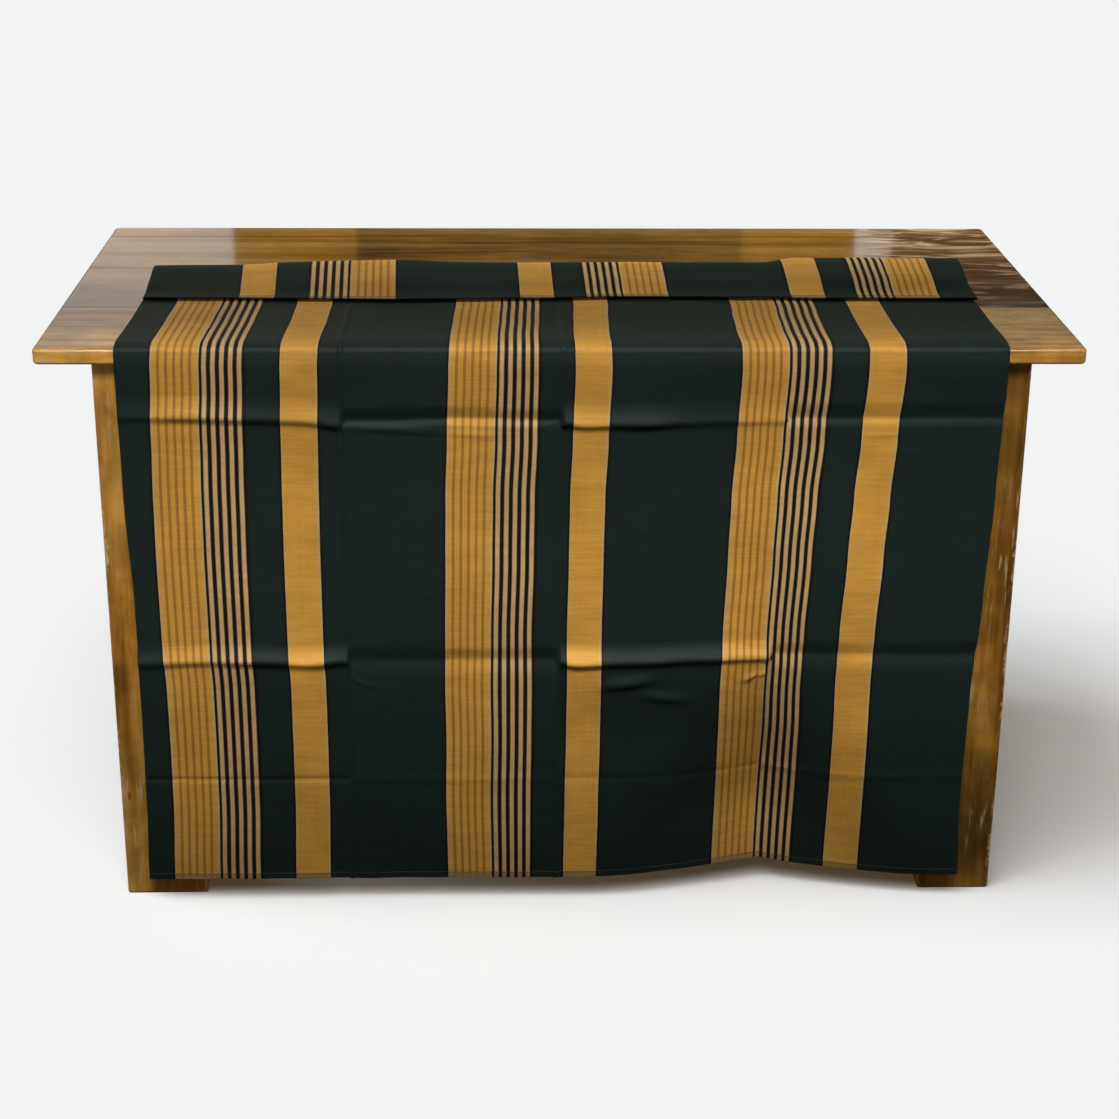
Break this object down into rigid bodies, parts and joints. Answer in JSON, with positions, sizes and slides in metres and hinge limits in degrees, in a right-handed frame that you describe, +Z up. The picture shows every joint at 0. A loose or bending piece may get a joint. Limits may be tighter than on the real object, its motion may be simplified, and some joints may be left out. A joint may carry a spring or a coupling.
{
  "type": "sarong draped over a wooden table",
  "caption": "Tubular striped cotton sarong, pressed flat and laid over a plain wooden table; it hangs almost to the floor in front and its loose end is folded forward on the top.",
  "frame": {"origin": "on the floor, in the middle of the footprint of the table and the cloth in front of it", "axes": "+X to the right along the table's length, +Y from the hanging cloth towards the back of the table, +Z up"},
  "size_m": [1.3, 0.668, 0.7946],
  "materials": {
    "varnished_wood": "clear glossy varnish over amber wood, worn pale along the edges",
    "striped_cotton": "soft plain-weave cotton with a low sheen: near-black green ground with gold and beige stripes along its length",
    "turned_hem": "the same cotton turned over and stitched"
  },
  "bodies": {
    "root": {"top_board_1": "varnished_wood", "top_board_2": "varnished_wood", "top_board_3": "varnished_wood", "top_board_4": "varnished_wood", "leg_front_left": "varnished_wood", "leg_front_right": "varnished_wood", "leg_back_left": "varnished_wood", "leg_back_right": "varnished_wood", "apron_front": "varnished_wood", "apron_back": "varnished_wood", "apron_left": "varnished_wood", "apron_right": "varnished_wood", "sarong_body": "striped_cotton", "bottom_hem": "turned_hem", "top_hem": "turned_hem"}
  },
  "joints": []
}
